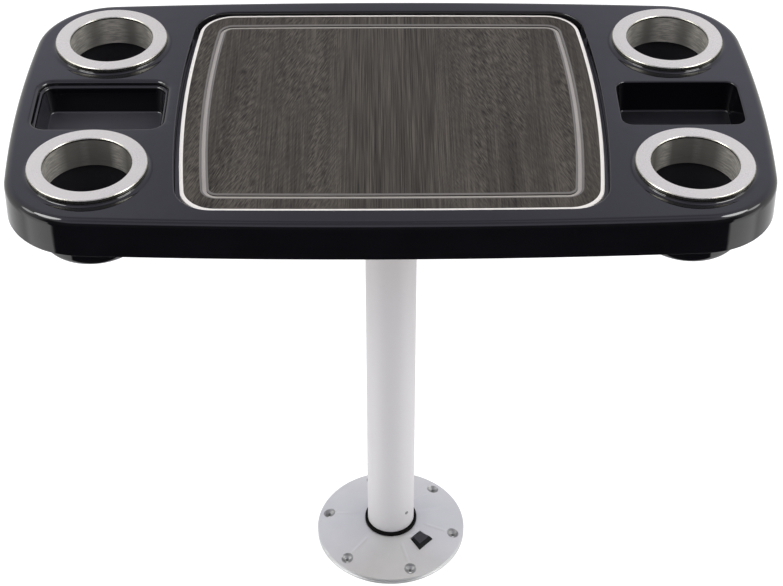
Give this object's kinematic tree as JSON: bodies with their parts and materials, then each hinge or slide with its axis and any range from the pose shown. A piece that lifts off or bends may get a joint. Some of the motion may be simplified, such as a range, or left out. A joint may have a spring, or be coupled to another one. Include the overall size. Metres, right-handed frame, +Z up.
{
  "type": "single pole camper table",
  "caption": "Moulded camper table with cup holders, trays and an inlay board, on one pole that turns in a latched, recessed floor base.",
  "frame": {"origin": "centre of the floor flange's underside, on the floor surface, on the pole's axis", "axes": "+Z up along the pole, +X along the table's long side, -Y towards the front"},
  "size_m": [0.8204, 0.4344, 0.7463],
  "materials": {
    "gloss_black": "high gloss moulded plastic",
    "inlay_laminate": "satin wood-grain laminate with a light core",
    "ring_steel": "brushed steel with bright chamfers",
    "plywood": "sealed plywood",
    "cast_alloy": "cast, lightly blasted",
    "zinc_screw": "zinc plated",
    "dark_screw": "dark plated",
    "black_nylon": "satin nylon",
    "white_nylon": "natural nylon",
    "button_black": "satin plastic",
    "pole_paint": "satin light grey coating",
    "silver_paint": "satin silver coating on a die casting",
    "spring_steel": "spring wire"
  },
  "bodies": {
    "base": {"base_flange": "silver_paint", "base_bushing": "black_nylon", "thrust_washer": "white_nylon", "latch_cover": "zinc_screw", "cover_screws": "zinc_screw", "return_springs": "spring_steel"},
    "table": {"pole_tube": "pole_paint", "foot_plug": "black_nylon", "foot_rivets": "dark_screw", "head_sleeve": "black_nylon", "clamp_screws": "dark_screw", "table_socket": "cast_alloy", "socket_screws": "zinc_screw", "core_board": "plywood", "table_shell": "gloss_black", "inlay_board": "inlay_laminate", "cup_ring_front_left": "ring_steel", "cup_ring_front_right": "ring_steel", "cup_ring_back_left": "ring_steel", "cup_ring_back_right": "ring_steel"},
    "button": {"release_button": "button_black"},
    "bolt": {"latch_bolt": "zinc_screw"}
  },
  "joints": [
    {"name": "pole_swivel", "type": "hinge", "parent": "base", "child": "table", "pos_m": [0, 0, 0], "axis": [0, 0, 1], "continuous": true},
    {"name": "button_press", "type": "slide", "parent": "base", "child": "button", "axis": [0, 0, -1], "range_m": [0, 0.005], "stiffness_N_per_m": 1500, "springref_m": -0.006, "deforming": ["return_springs"]},
    {"name": "bolt_slide", "type": "slide", "parent": "base", "child": "bolt", "axis": [0.7314, -0.682, 0], "range_m": [0, 0.005]}
  ],
  "couplings": [
    {"joint": "bolt_slide", "follows": "button_press", "ratio": 1}
  ]
}
